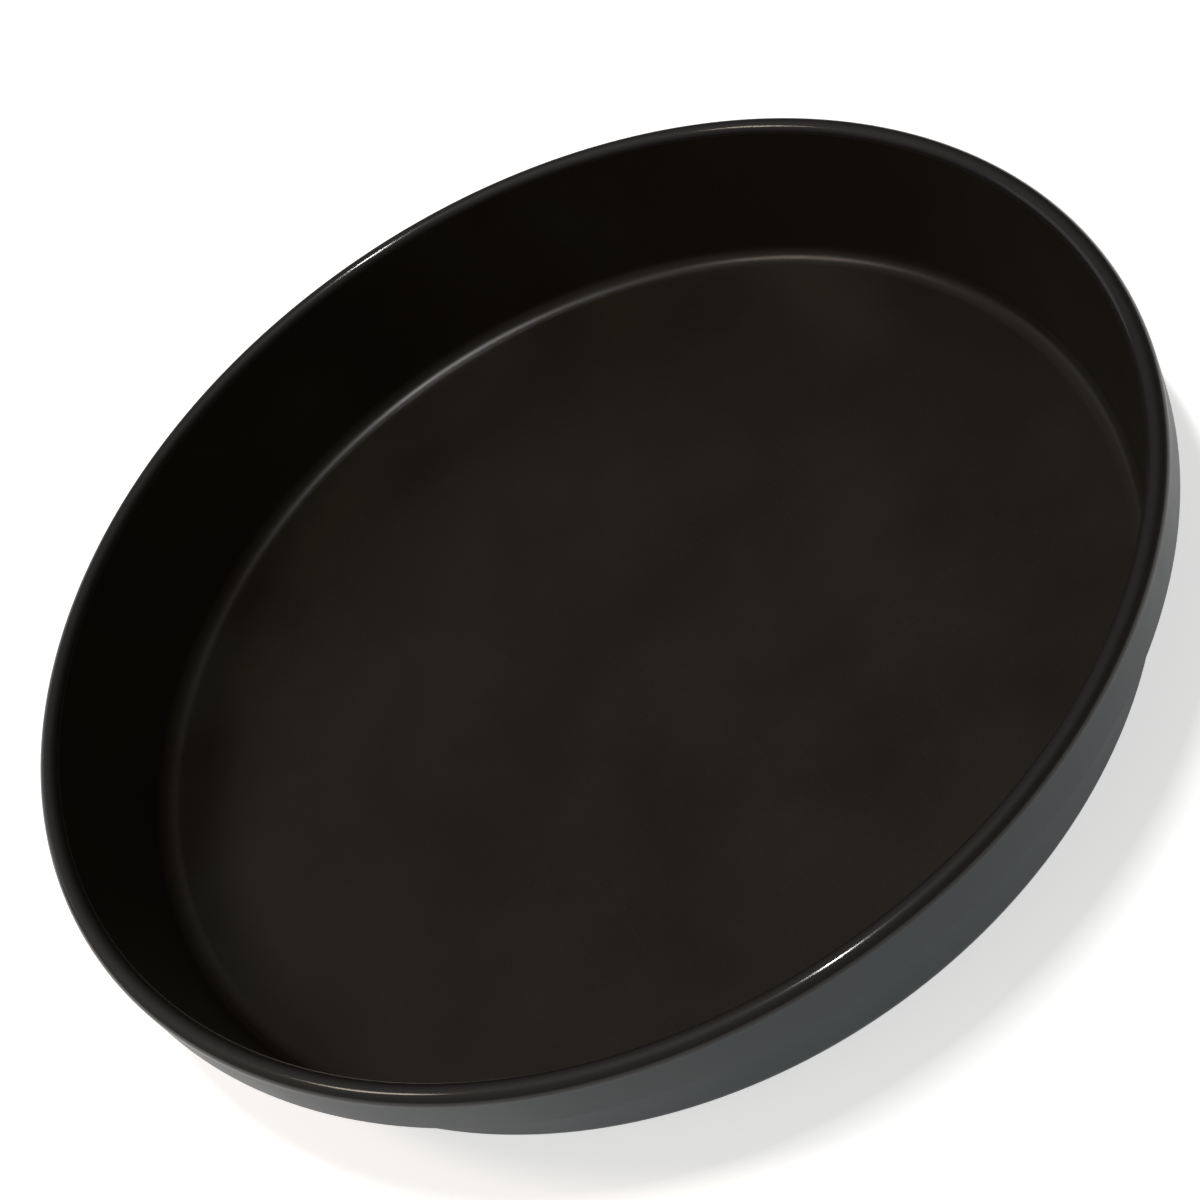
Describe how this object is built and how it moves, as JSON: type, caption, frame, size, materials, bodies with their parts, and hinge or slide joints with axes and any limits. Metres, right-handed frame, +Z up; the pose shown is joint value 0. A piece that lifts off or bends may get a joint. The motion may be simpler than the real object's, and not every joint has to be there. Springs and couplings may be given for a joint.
{
  "type": "microwave crisp plate",
  "caption": "Shallow round metal pan with flared wall and turned-down rim, dark release lining and a ferrite rubber heating layer on feet underneath, for browning food in a microwave oven.",
  "frame": {"origin": "centre of the plane that the feet stand on", "axes": "+Z up along the pan's axis of symmetry, out of the open side; +X through foot_1"},
  "size_m": [0.25, 0.25, 0.042],
  "materials": {
    "outer_coat": "dark blue-grey satin coat on pressed aluminium sheet",
    "release_lining": "brown-black semi-gloss release coating",
    "ferrite_rubber": "matt ferrite-loaded silicone rubber",
    "silicone": "matt moulded silicone"
  },
  "bodies": {
    "root": {"pan_shell": "outer_coat", "nonstick_lining": "release_lining", "ferrite_layer": "ferrite_rubber", "foot_1": "silicone", "foot_2": "silicone", "foot_3": "silicone", "foot_4": "silicone", "foot_5": "silicone", "foot_6": "silicone"}
  },
  "joints": []
}
